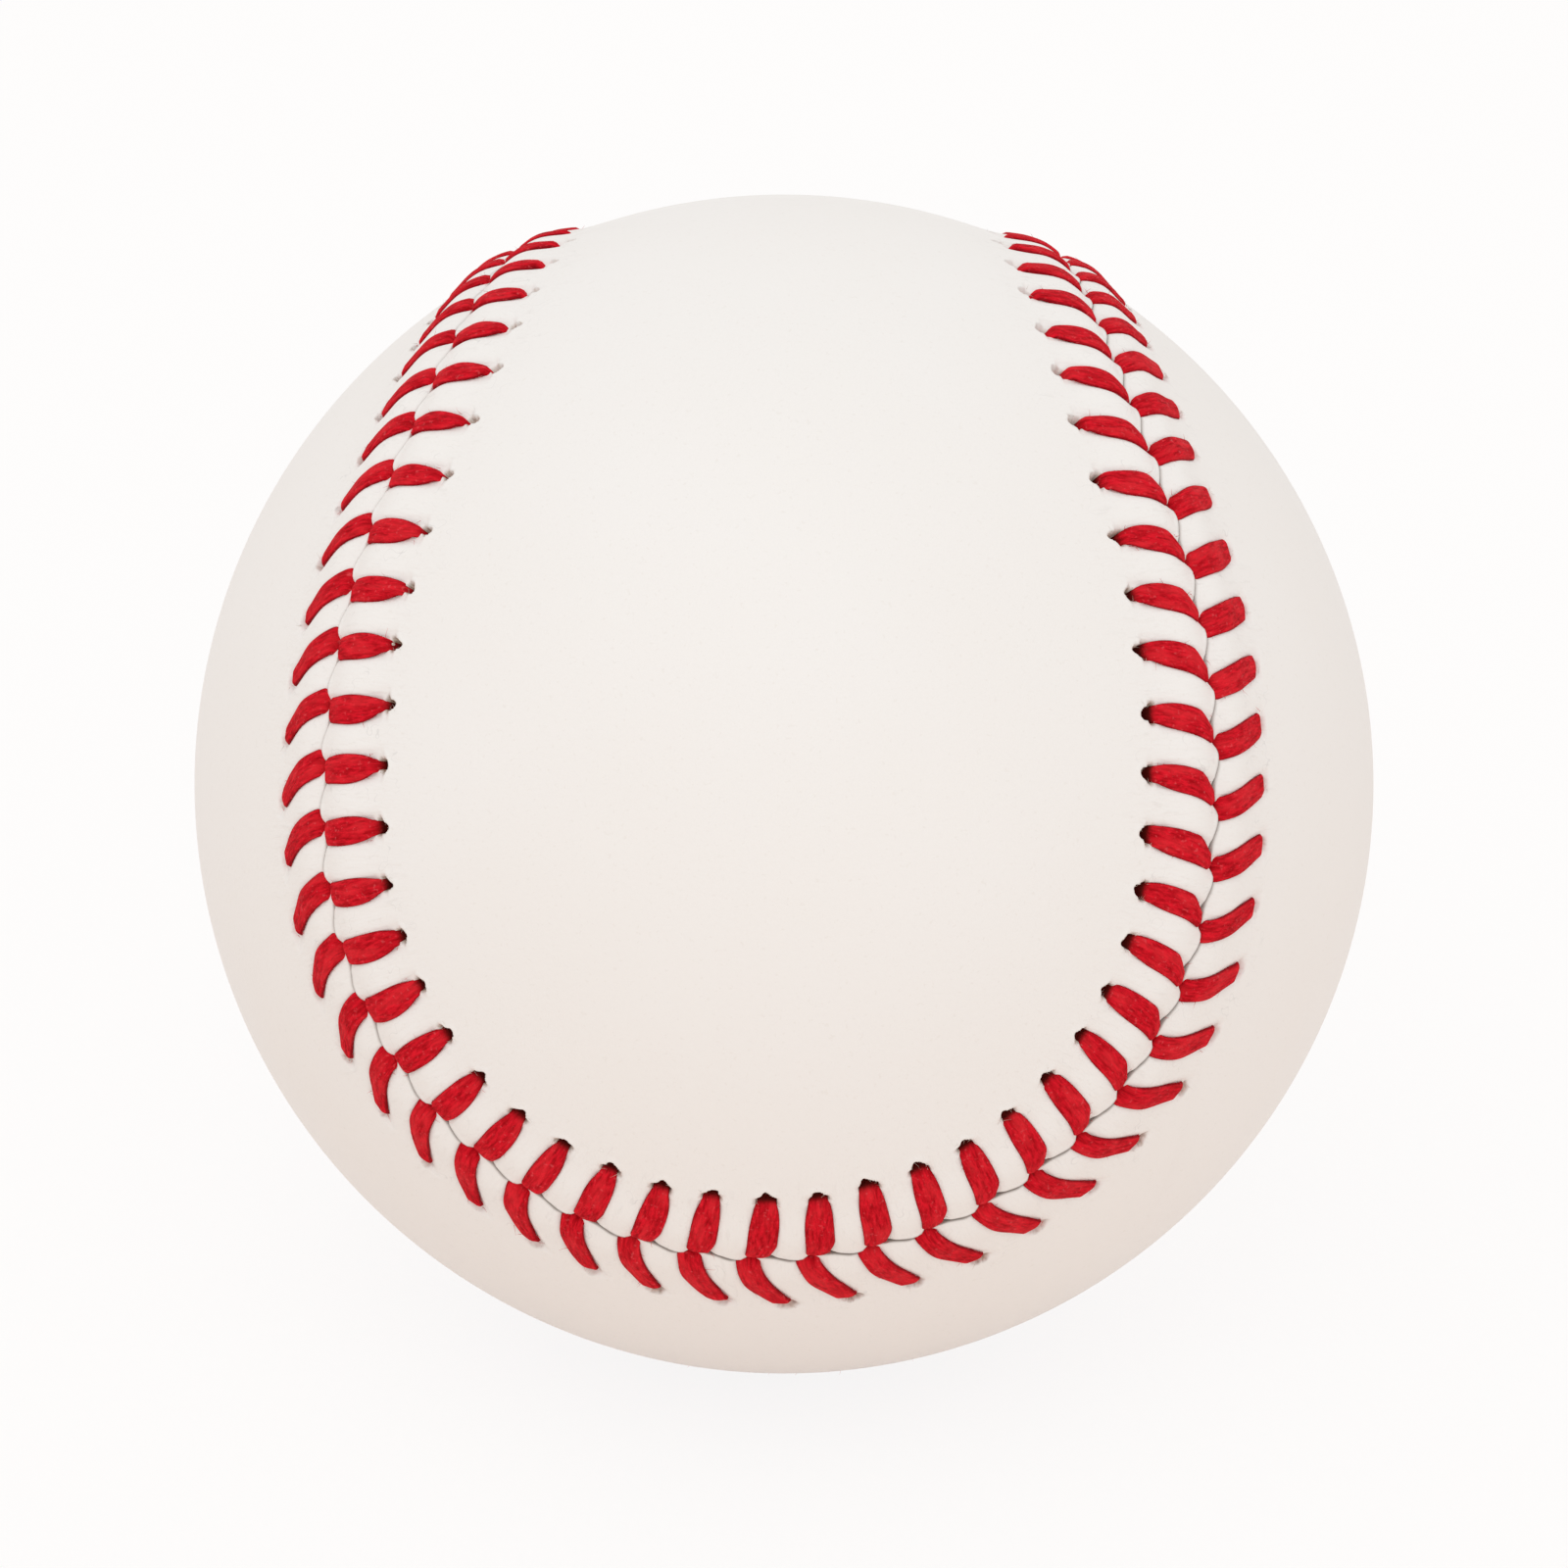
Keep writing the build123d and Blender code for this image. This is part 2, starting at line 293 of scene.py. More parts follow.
legs_a.pit_dark = np.clip(by_place(0.4, 0.8, 0.72, 0.0) - lit_corner + uneven(0.15), 0, 1)
legs_a.pit_raw = np.clip(by_place(1.0, 1.0, 1.0, 0.15) - lit_corner, 0, 1)

lead_slip = slip * (1 - lead_calm * smooth_step(0.3, 0.9, -np.cos(lobe_turn)))
lead = lead_middle - lead_swing * lead_slip + left_lead_shift[0] * near(lobe_turn, left_lead_shift[1])
lead += right_lead_shift[0] * near(lobe_turn, right_lead_shift[1]) ** 2
legs_b = make_legs(-1, hole_a_place + lead, by_place(4.65, 5.5, 5.1, 4.4))
legs_b.half_width = by_place(0.88, 0.88, 0.86, 0.92) * corner_width * (1 + uneven(width_chance))
legs_b.bow = by_place(-0.08, -0.2, 0.0, -0.05) + uneven(bow_chance)
sharp_corner = 0.25 * near(lobe_turn, upper_left)
legs_b.hole_share = by_place(0.5, 0.55, 0.75, 0.65) - sharp_corner + uneven(taper_chance)
legs_b.tip_lean = by_place(0.8, 0.6, 0.3, 0.3)
legs_b.seam_share = by_place(1.0, 0.85, 0.9, 1.0)
legs_b.round_off = by_place(0.0, 0.0, 0.0, 0.1)
legs_b.pit_reach = legs_b.reach + by_place(0.1, 0.12, 0.08, 0.15)
legs_b.pit_width = by_place(0.35, 0.5, 0.45, 0.5) * (1 + uneven(0.2))
closed_corner = 1 - 0.7 * near(lobe_turn, upper_right) ** 2
legs_b.pit_length = by_place(0.25, 0.36, 0.24, 0.5) * closed_corner * (1 + uneven(0.2))
legs_b.pit_depth = by_place(0.25, 0.35, 0.3, 0.9)
# painted shade in panel B's holes
legs_b.pit_dark = np.clip(by_place(0.0, 0.15, 0.1, 0.8) + uneven(0.1), 0, 1)
legs_b.pit_raw = np.clip((by_place(0.1, 0.6, 0.3, 1.0) + uneven(0.3)) * closed_corner, 0, 1)

line_roundness = by_place(0.2, 0.55, 0.45, 0.4)
# strength of the painted shade along the line between the panels, round the seam
gap_shade_strength = np.clip(by_place(0.1, 1.0, 0.5, 0.5), 0, 1)


def leg_leaf(legs, leg, share):
    """Half the width of a leg, at shares of the way from its hole to the seam"""
    tip = np.clip(1 - share / leaf_tip, 0, 1)
    narrowed = (1 - legs.hole_share[leg]) * tip ** leaf_curve
    return legs.half_width[leg] * (1 - narrowed)


def leg_line(legs, leg, share):
    """Distance along the seam of the middle of a leg, at shares of the way from its hole to the seam"""
    lean = legs.tip_lean[leg] * (legs.half_width[leg] - leg_leaf(legs, leg, share))
    return legs.hole[leg] + legs.run[leg] * share + legs.bow[leg] * 4 * share * (1 - share) + lean


for legs in (legs_a, legs_b):
    legs.pit_place = leg_line(legs, stitch, 0.0)


def nearest_leg(legs, along, reach):
    """How far along the seam points lie from the nearest leg's line, and which leg that is"""
    guess = np.round((along - legs.hole[0]) / stitch_pitch).astype(int)
    nearest = np.full(np.shape(reach), seam_length)
    which = np.zeros(np.shape(reach), int)
    for step in (-2, -1, 0, 1, 2):
        leg = np.broadcast_to((guess + step) % stitch_count, which.shape)
        share = np.clip(1 - reach / legs.reach[leg], 0, 1)
        gap = round_seam(along - leg_line(legs, leg, share))
        closer = np.abs(gap) < np.abs(nearest)
        nearest = np.where(closer, gap, nearest)
        which = np.where(closer, leg, which)
    return nearest, which


def seam_phase(along):
    """Share of the way from one stitch's place in the seam to the next"""
    turns = np.concatenate([entry_place + lap * seam_length for lap in (-1, 0, 1)])
    return np.interp(along, turns, np.arange(len(turns))) % 1


# Meshes

def make_piece(name, points, faces, material):
    """A smooth mesh that belongs to the ball"""
    mesh = bpy.data.meshes.new(name)
    mesh.from_pydata((points * MM).tolist(), [], faces)
    mesh.polygons.foreach_set("use_smooth", np.ones(len(mesh.polygons), bool))
    mesh.materials.append(material)
    piece = bpy.data.objects.new(name, mesh)
    bpy.context.collection.objects.link(piece)
    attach(piece, "root")
    return piece


def set_numbers(piece, name, numbers):
    """Keep a number for each point of a mesh, for its material"""
    piece.data.attributes.new(name, "FLOAT", "POINT").data.foreach_set("value", np.ravel(numbers))


def set_places(piece, name, places):
    """Keep a place for each point of a mesh, for its material"""
    piece.data.attributes.new(name, "FLOAT_VECTOR", "POINT").data.foreach_set("vector", np.ravel(places))


def grid_faces(rows, columns, closed_rows=False):
    """Four-sided faces of a grid of points whose columns close on themselves"""
    last_row = rows if closed_rows else rows - 1
    row = np.arange(last_row)[:, None]
    column = np.arange(columns)[None, :]
    next_row = (row + 1) % rows
    next_column = (column + 1) % columns
    corners = (row * columns + column, row * columns + next_column,
               next_row * columns + next_column, next_row * columns + column)
    return np.stack(np.broadcast_arrays(*corners), axis=-1).reshape(-1, 4)


# The cover panels

columns_per_stitch = 20
column_bunching = 0.55      # how much closer the columns stand at the holes
hole_rows = (3.8, 6.7)      # from the seam to where the rows of points stand closest, at the holes
hole_row_spacing = 0.1
slope_row_spacing = 0.21    # between the seam and those
flat_spacing = 0.8          # between the points where the leather lies flat
seam_samples = 1500         # places along the seam that those points are measured from


def panel_columns(legs):
    """Distances along the seam of a panel's columns of points, closer together at the holes"""
    share = np.arange(columns_per_stitch) / columns_per_stitch
    share = share - column_bunching * np.sin(2 * pi * share) / (2 * pi)
    spans = np.append(legs.pit_place[1:], legs.pit_place[0] + seam_length) - legs.pit_place
    return (legs.pit_place[:, None] + spans[:, None] * share).ravel()


def panel_rows():
    """Reach of a panel's rows of points from its edge, and whether they are on its inside"""
    inside = np.array([welt_reach, 7.0, 4.5, 2.0, 0.3, 0.02])
    lip = lip_radius * (1 - np.cos(np.linspace(0, pi / 2, 6)))
    slope = np.arange(lip_radius + 0.15, hole_rows[0] - hole_row_spacing, slope_row_spacing)
    holes = np.arange(*hole_rows, hole_row_spacing)
    foot = np.linspace(hole_rows[1] + 2 * hole_row_spacing, welt_reach, 7)
    reach = np.concatenate([inside, lip, slope, holes, foot])[:, None]
    return reach, np.arange(len(reach))[:, None] < len(inside)


def leather_relief(legs, along, offset, reach):
    """Height of the outside of a panel over the ball, and how raw it is there, how much painted shade it
    has in a hole and how much along the line between the panels
    """
    across, leg = nearest_leg(legs, along, np.abs(offset))
    past_hole = np.abs(offset) - legs.pit_reach[leg]
    from_hole = round_seam(along - legs.pit_place[leg])
    bearing = np.arctan2(past_hole, from_hole)
    ragged = 1 + pit_waves[0] * np.cos(3 * bearing + legs.ragged[0][leg])
    ragged += pit_waves[1] * np.cos(5 * bearing + legs.ragged[1][leg])
    pit_end = np.clip(past_hole / legs.pit_length[leg], -1, 1)
    pit_width = legs.pit_width[leg] * (1 - pit_taper * pit_end)
    rim = np.hypot(from_hole / pit_width, past_hole / legs.pit_length[leg]) / ragged
    pit = 1 - smooth_step(*pit_wall, rim)
    dent = np.exp(-(across / (dent_share * legs.half_width[leg])) ** 4)
    dent *= 1 - smooth_step(*dent_end, np.abs(offset) - legs.reach[leg])
    height = welt(along, offset) - dent_depth * dent - legs.pit_depth[leg] * pit
    height += pit_rim * legs.pit_raw[leg] * np.exp(-((rim - pit_rim_place) / pit_rim_spread) ** 2)
    lip = lip_radius * line_roundness[leg]
    into_lip = np.clip(lip - reach, 0, lip)
    height -= lip - np.sqrt(lip ** 2 - into_lip ** 2)
    raw = legs.pit_raw[leg] * (1 - smooth_step(*pit_raw_end, rim))
    # painted shade in the hole
    painted_shade = legs.pit_dark[leg] * (1 - smooth_step(*pit_dark_end, rim))
    # painted shade along the line between the panels
    gap_shade = np.exp(-(reach / gap_shade_reach) ** 2) * gap_shade_strength[leg]
    return height, raw, painted_shade, gap_shade


def flat_leather(legs, rim_points):
    """Points and triangles that fill a panel inside its welt, numbered after the rim's points"""
    side = legs.side
    count = int(4 * pi * ball_radius ** 2 / (flat_spacing ** 2 * sqrt(3) / 2))
    turn = np.arange(count) * pi * (3 - sqrt(5))
    height = 1 - (2 * np.arange(count) + 1) / count
    level = np.sqrt(1 - height ** 2)
    spots = np.stack([level * np.cos(turn), level * np.sin(turn), height], axis=-1)
    along = np.linspace(0, seam_length, seam_samples, endpoint=False)
    outward, towards_a = seam_frame(along)[:2]
    nearness = spots @ outward.T
    closest = np.argmax(nearness, axis=1)
    offset = np.arccos(np.clip(nearness.max(axis=1), -1, 1)) * ball_radius
    on_panel = side * np.sum(spots * towards_a[closest], axis=-1) > 0
    rim = welt_reach - side * stretch(along[closest])
    spots = spots[on_panel & (offset > rim + flat_spacing / 2)]
    every = np.concatenate([unit(rim_points), spots])
    depth = 1 + side * (every @ upper)
    flat = np.stack([every @ front, every @ right], axis=-1) / depth[:, None]
    rim_count = len(rim_points)
    ring = [(index, (index + 1) % rim_count) for index in range(rim_count)]
    made = delaunay_2d_cdt([Vector(spot) for spot in flat], ring, [], 1, 1e-7)
    original = [sources[0] for sources in made[3]]
    triangles = np.array([[original[corner] for corner in face] for face in made[2]])
    a, b, c = (every[triangles[:, corner]] for corner in range(3))
    outwards = np.sum(np.cross(b - a, c - a) * a, axis=-1) > 0
    triangles[~outwards] = triangles[~outwards][:, ::-1]
    return spots, triangles


def nearest_entry(legs, along):
    """Distance along the seam of the nearest leg's place in it"""
    entries = legs.hole + legs.run - legs.round_off * legs.half_width
    entries = np.sort(np.mod(entries, seam_length))
    entries = np.concatenate([entries[-1:] - seam_length, entries, entries[:1] + seam_length])
    place = np.mod(along, seam_length)
    after = np.clip(np.searchsorted(entries, place), 1, len(entries) - 1)
    before_closer = place - entries[after - 1] < entries[after] - place
    return np.where(before_closer, entries[after - 1], entries[after])


def make_panel(name, legs, material):
    """A cover panel: its inside, its rolled edge and its outside, closed by flat leather in the middle"""
    side = legs.side
    along = panel_columns(legs)[None, :]
    reach, inside = panel_rows()
    near_edge = np.exp(-(reach / edge_reach) ** 2)
    swell = -scallop_lean - scallop * np.cos(2 * pi * (seam_phase(along) - scallop_phase))
    from_leg = round_seam(along - nearest_entry(legs, along))
    spread = lip_gap / 2 + lip_spread * np.exp(-(from_leg / edge_grip) ** 4)
    offset = side * reach + (swell + side * spread) * near_edge
    height, raw, painted_shade, gap_shade = leather_relief(legs, along, offset, reach)
    height = np.where(inside, welt(along, offset) - leather, height)
    raw = np.where(inside, 1, raw)
    points = beside_seam(np.broadcast_to(along, offset.shape), offset, ball_radius + height)
    rows, columns = offset.shape
    spots, triangles = flat_leather(legs, points[-1])
    outside_middle = spots * ball_radius
    inside_middle = spots * (ball_radius - leather)
    grid = rows * columns
    outside_number = np.concatenate([grid - columns + np.arange(columns), grid + np.arange(len(spots))])
    inside_number = np.concatenate([np.arange(columns), grid + len(spots) + np.arange(len(spots))])
    quads = grid_faces(rows, columns)
    if side < 0:
        quads = quads[:, ::-1]
    faces = quads.tolist() + outside_number[triangles].tolist()
    faces += inside_number[triangles[:, ::-1]].tolist()
    everything = np.concatenate([points.reshape(-1, 3), outside_middle, inside_middle])
    piece = make_piece(name, everything, faces, material)
    flat_count = len(spots)
    bare = np.concatenate([np.zeros(flat_count), np.ones(flat_count)])
    set_numbers(piece, "raw", np.concatenate([np.ravel(raw), bare]))
    set_numbers(piece, "painted_shade", np.concatenate([np.ravel(painted_shade), 0 * bare]))
    set_numbers(piece, "gap_shade", np.concatenate([np.ravel(np.broadcast_to(gap_shade, offset.shape)), 0 * bare]))
    worked = 1 - smooth_step(*worked_reach, np.abs(offset))
    set_numbers(piece, "worked", np.concatenate([np.ravel(worked), 0 * bare]))
    turn = 2 * pi * np.broadcast_to(along, offset.shape) / seam_length
    ring_radius = seam_length / (2 * pi)
    places = np.stack([ring_radius * np.cos(turn), ring_radius * np.sin(turn), offset], axis=-1)
    flat_places = np.full((2 * flat_count, 3), 2 * welt_reach)
    set_places(piece, "seam_place", np.concatenate([places.reshape(-1, 3), flat_places]))
    return piece


# The lacing

leg_rings = 30
under_rings = 3
thread_sides = 28


def leg_rings_of(legs):
    """Middles, width directions, half widths and painted shade of the legs' rings, from hole to seam"""
    share = 0.5 - 0.5 * np.cos(pi * np.linspace(0, 1, leg_rings))[None, :]
    leg = stitch[:, None]
    along = leg_line(legs, leg, share)
    reach = legs.reach[leg] * (1 - share) + entry_offset * share
    into_hole = np.exp(-(share * legs.reach[leg] / hole_dive_length) ** 2)
    into_seam = np.exp(-((1 - share) * legs.reach[leg] / seam_dive_length) ** 2)
    down = into_hole + into_seam
    height = (welt(along, reach) - thread_sink) * (1 - down) - under_depth * down
    narrowed = (1 - legs.seam_share[leg]) * smooth_step(leaf_tip, 1, share)
    leaf = leg_leaf(legs, leg, share) * (1 - narrowed)
    rounded = leaf * legs.round_off[leg] * smooth_step(0.7, 1, share)
    middles = beside_seam(along - rounded, legs.side * reach, ball_radius + height)
    ahead = seam_frame(along)[2]
    # painted shade where the leg goes down into its hole and into the seam
    return middles, ahead, leaf - rounded, into_hole * legs.pit_dark[leg] + seam_shade * into_seam


def thread_line():
    """The thread from end to end, as middle points, width directions, half widths and painted shade"""
    rings = {legs.side: leg_rings_of(legs) for legs in (legs_a, legs_b)}

    def needle(side):
        run = []
        for index in reversed(range(1, stitch_count + 1)):
            run.append([part[index % stitch_count] for part in rings[side]])
            side = -side
        return run

    first = [[part[::-1] for part in leg] for leg in reversed(needle(1))]
    line = first[0]
    for leg in first[1:] + needle(-1):
        share = np.linspace(0, 1, under_rings + 2)[1:-1, None]
        between = [
            line[0][-1] * (1 - share) + leg[0][0] * share,
            unit(line[1][-1] * (1 - share) + leg[1][0] * share),
            np.full(under_rings, under_half_width),
            np.ones(under_rings),
        ]
        line = [np.concatenate(parts) for parts in zip(line, between, leg)]
    return line


def make_thread(material):
    """One flattened, twisted strand along the whole line"""
    middles, across, half_width, painted_shade = thread_line()
    up = unit(np.cross(np.gradient(middles, axis=0), across))
    length = np.concatenate([[0], np.cumsum(np.linalg.norm(np.diff(middles, axis=0), axis=1))])
    angle = 2 * pi * np.arange(thread_sides)[None, :] / thread_sides
    wide = half_width[:, None] * np.sign(np.cos(angle)) * np.abs(np.cos(angle)) ** thread_fullness
    high = thread_half_height * np.sign(np.sin(angle)) * np.abs(np.sin(angle)) ** thread_fullness
    groove = np.cos(ply_count * angle - 2 * pi * ply_twist * length[:, None])
    lean_wide = np.cos(angle) * thread_half_height
    lean_high = np.sin(angle) * half_width[:, None]
    lean = np.hypot(lean_wide, lean_high)
    wide = wide + ply_relief * groove * lean_wide / lean
    high = high + ply_relief * groove * lean_high / lean
    points = middles[:, None, :] + across[:, None, :] * wide[..., None] + up[:, None, :] * high[..., None]
    rows = len(middles)
    faces = grid_faces(rows, thread_sides).tolist()
    faces.append(list(range(thread_sides))[::-1])
    faces.append(list(range((rows - 1) * thread_sides, rows * thread_sides)))
    piece = make_piece("lacing", points.reshape(-1, 3), faces, material)
    along = np.broadcast_to(length[:, None], wide.shape)
    set_places(piece, "strand", np.stack([along, wide, np.broadcast_to(high, wide.shape)], axis=-1))
    set_numbers(piece, "groove", groove)
    set_numbers(piece, "edge", np.broadcast_to(np.abs(np.cos(angle)), wide.shape))
    set_numbers(piece, "painted_shade", np.broadcast_to(painted_shade[:, None], wide.shape))
    return piece


# Loose fibres of the thread, and frayed leather at the holes

fibre_points = 5
fibre_taper = 0.8           # how much thinner a fibre's end is
fuzz_per_leg = 9
fuzz_span = (0.04, 0.97)    # shares of a leg between which its fibres start
fuzz_lengths = (0.15, 0.5)
fuzz_lift = (0.0, 0.7)      # how steeply they stand off the ball
fuzz_bend = 0.35
fuzz_radius = 0.018
frays_per_hole = 9          # at the holes with the most painted shade
fray_lengths = (0.12, 0.4)
fray_lift = (0.1, 0.9)
fray_bend = 0.3
fray_radius = 0.015


def fibre_tubes(name, starts, headings, bends, lengths, radius, material):
    """Thin three-sided fibres that taper, each on a bent line"""
    share = np.linspace(0, 1, fibre_points)[None, :, None]
    size = lengths[:, None, None]
    middles = starts[:, None, :] + headings[:, None, :] * size * share
    middles = middles + bends[:, None, :] * size * share ** 2
    first = unit(np.cross(headings, starts))[:, None, :]
    second = unit(np.cross(headings[:, None, :], first))
    thin = radius * (1 - fibre_taper * share)
    corners = []
    for corner in range(3):
        angle = 2 * pi * corner / 3
        corners.append(middles + thin * (first * cos(angle) + second * sin(angle)))
    points = np.stack(corners, axis=2)
    sides = grid_faces(fibre_points, 3)
    ends = [[2, 1, 0], [3 * fibre_points - 3, 3 * fibre_points - 2, 3 * fibre_points - 1]]
    faces = []
    for index in range(len(starts)):
        base = index * 3 * fibre_points
        faces += (sides + base).tolist()
        faces += [[base + corner for corner in end] for end in ends]
    return make_piece(name, points.reshape(-1, 3), faces, material)


def chance_headings(outward, count, lift):
    """Directions spread over the ball's surface, lifted off it"""
    spread = rng.normal(size=(count, 3))
    spread -= outward * np.sum(spread * outward, axis=-1, keepdims=True)
    return unit(unit(spread) + outward * rng.uniform(*lift, (count, 1)))


def make_fuzz(material):
    """Stray fibres of the thread, along the edges of the legs"""
    starts = []
    for legs in (legs_a, legs_b):
        leg = np.repeat(stitch, fuzz_per_leg)
        share = rng.uniform(*fuzz_span, len(leg))
        edge = rng.choice([-1.0, 1.0], len(leg)) * rng.uniform(0.5, 1, len(leg))
        along = leg_line(legs, leg, share) + edge * legs.half_width[leg] * 0.9
        reach = legs.reach[leg] * (1 - share)
        starts.append(beside_seam(along, legs.side * reach, ball_radius + welt(along, reach) + 0.02))
    starts = np.concatenate(starts)
    count = len(starts)
    headings = chance_headings(unit(starts), count, fuzz_lift)
    bends = rng.normal(size=(count, 3)) * fuzz_bend
    lengths = rng.uniform(*fuzz_lengths, count)
    return fibre_tubes("lacing_fuzz", starts, headings, bends, lengths, fuzz_radius, material)


def make_frays(material):
    """Torn leather fibres round the holes"""
    starts = []
    headings = []
    for legs in (legs_a, legs_b):
        leg = np.repeat(stitch, np.round(frays_per_hole * legs.pit_dark).astype(int))
        bearing = rng.uniform(-0.15 * pi, 1.15 * pi, len(leg))
        along = legs.pit_place[leg] + legs.pit_width[leg] * np.cos(bearing)
        reach = legs.pit_reach[leg] + legs.pit_length[leg] * np.sin(bearing)
        radius = ball_radius + welt(along, reach)
        starts.append(beside_seam(along, legs.side * reach, radius - 0.05))
        outer = beside_seam(along + np.cos(bearing), legs.side * (reach + np.sin(bearing)), radius)
        headings.append(unit(outer - starts[-1]))
    starts = np.concatenate(starts)
    headings = np.concatenate(headings)
    count = len(starts)
    headings = headings * rng.uniform(-0.6, 1, (count, 1))
    headings = unit(headings + 0.5 * chance_headings(unit(starts), count, fray_lift))
    bends = rng.normal(size=(count, 3)) * fray_bend
    lengths = rng.uniform(*fray_lengths, count)
    return fibre_tubes(
        "hole_frays", starts, headings, bends, lengths, fray_radius, material)


# Materials

def add_node(tree, kind, inputs=None, **settings):
    """A shader node with its settings, its inputs set to values or joined to other nodes' outputs"""
    node = tree.nodes.new("ShaderNode" + kind)
    for name, value in settings.items():
        setattr(node, name, value)
    for socket, value in (inputs or {}).items():
        if isinstance(value, bpy.types.NodeSocket):
            tree.links.new(value, node.inputs[socket])
        else:
            node.inputs[socket].default_value = value
    return node


def mixed(tree, share, first, second):
    """Colour between two others"""
    node = add_node(tree, "Mix", {0: share, 6: first, 7: second}, data_type="RGBA")
    return node.outputs[2]


def noise(tree, place, scale, detail=3.0, roughness=0.5):
    """Cloudy numbers around a half"""
    inputs = {"Vector": place, "Scale": scale, "Detail": detail, "Roughness": roughness}
    return add_node(tree, "TexNoise", inputs).outputs["Fac"]


def ranged(tree, value, low, high, to_low=0.0, to_high=1.0):
    """Numbers from one range carried smoothly to another"""
    inputs = {"Value": value, "From Min": low, "From Max": high, "To Min": to_low, "To Max": to_high}
    return add_node(tree, "MapRange", inputs, interpolation_type="SMOOTHSTEP").outputs["Result"]


def combined(tree, operation, first, second):
    """Sum, product or the like of two numbers"""
    return add_node(tree, "Math", {0: first, 1: second}, operation=operation).outputs[0]


def stretched(tree, place, scale, turn=0.0):
    """Places scaled along each axis, and turned about the third"""
    inputs = {"Vector": place, "Scale": scale, "Rotation": (0, 0, turn)}
    return add_node(tree, "Mapping", inputs).outputs["Vector"]


def kept(tree, name, output):
    """What a mesh keeps for its material under a name"""
    return add_node(tree, "Attribute", attribute_name=name).outputs[output]


def bumped(tree, height, distance, normal=None):
    """Normals of a surface with a relief"""
    inputs = {"Height": height, "Distance": distance * MM}
    if normal is not None:
        inputs["Normal"] = normal
    return add_node(tree, "Bump", inputs).outputs["Normal"]


def new_material(name, roughness, specular=0.5, sheen=0.0):
    """A material with its tree, its surface shader and object places in millimetres"""
    material = bpy.data.materials.new(name)
    material.use_nodes = True
    tree = material.node_tree
    surface = tree.nodes["Principled BSDF"]
    surface.inputs["Roughness"].default_value = roughness
    surface.inputs["Specular IOR Level"].default_value = specular
    surface.inputs["Sheen Weight"].default_value = sheen
    object_place = add_node(tree, "TexCoord").outputs["Object"]
    place = stretched(tree, object_place, (1 / MM, 1 / MM, 1 / MM))
    return material, tree, surface, place


def colour(red, green, blue):
    """Colour for a socket, from its linear parts"""
    return red, green, blue, 1.0


def finish_material(tree, surface, base, normal):
    """Join a colour and normals to the surface"""
    tree.links.new(base, surface.inputs["Base Color"])
    tree.links.new(normal, surface.inputs["Normal"])


def leather_material():
    """White tanned leather: faint clouds, pores, creases in painted shade, painted shade along the line
    between the panels and in its holes, and raw brown edges in its holes
    """
    material, tree, surface, place = new_material("white_leather", 0.5, specular=0.35)
    clouds = noise(tree, place, 0.06, 4.0)
    base = mixed(tree, clouds, colour(0.865, 0.828, 0.79), colour(0.88, 0.855, 0.83))
    pores = ranged(tree, noise(tree, place, 3.5, 2.0), 0.62, 0.74)
    base = mixed(tree, combined(tree, "MULTIPLY", pores, 0.10), base, colour(0.6, 0.52, 0.43))
    seam_place = kept(tree, "seam_place", "Vector")
    worked = kept(tree, "worked", "Fac")
    wrinkles = noise(tree, stretched(tree, seam_place, (1.6, 1.6, 0.4)), 1.4, 3.0, 0.6)
    # painted shade in the wrinkles beside the seam
    creases = combined(tree, "MULTIPLY", ranged(tree, wrinkles, 0.6, 0.72), worked)
    base = mixed(tree, combined(tree, "MULTIPLY", creases, 0.12), base, colour(0.55, 0.5, 0.46))
    # thin crease lines in painted shade
    level = combined(tree, "SUBTRACT", noise(tree, seam_place, 0.9, 1.0), 0.5)
    hatch = ranged(tree, combined(tree, "ABSOLUTE", level, 0.0), 0.0, 0.012, 1.0, 0.0)
    hatch = combined(tree, "MULTIPLY", hatch, ranged(tree, noise(tree, place, 0.6, 1.0), 0.52, 0.66))
    hatch = combined(tree, "MULTIPLY", hatch, worked)
    base = mixed(tree, combined(tree, "MULTIPLY", hatch, 0.3), base, colour(0.5, 0.48, 0.47))
    # painted shade, dark brown, along the line between the panels
    gap_shade = combined(tree, "MULTIPLY", kept(tree, "gap_shade", "Fac"), 0.8)
    base = mixed(tree, gap_shade, base, colour(0.14, 0.09, 0.06))
    raw_fibres = ranged(tree, noise(tree, place, 5.0, 3.0), 0.3, 0.7)
    flesh = mixed(tree, raw_fibres, colour(0.26, 0.15, 0.09), colour(0.56, 0.41, 0.3))
    base = mixed(tree, kept(tree, "raw", "Fac"), base, flesh)
    # painted shade in the holes, dark brown
    base = mixed(tree, kept(tree, "painted_shade", "Fac"), base, colour(0.09, 0.032, 0.017))
    grain = add_node(tree, "TexVoronoi", {"Vector": place, "Scale": 2.6}, feature="SMOOTH_F1")
    normal = bumped(tree, grain.outputs["Distance"], 0.012)
    normal = bumped(tree, noise(tree, place, 9.0, 3.0), 0.012, normal)
    normal = bumped(tree, combined(tree, "MULTIPLY", wrinkles, worked), 0.09, normal)
    finish_material(tree, surface, base, normal)
    return material


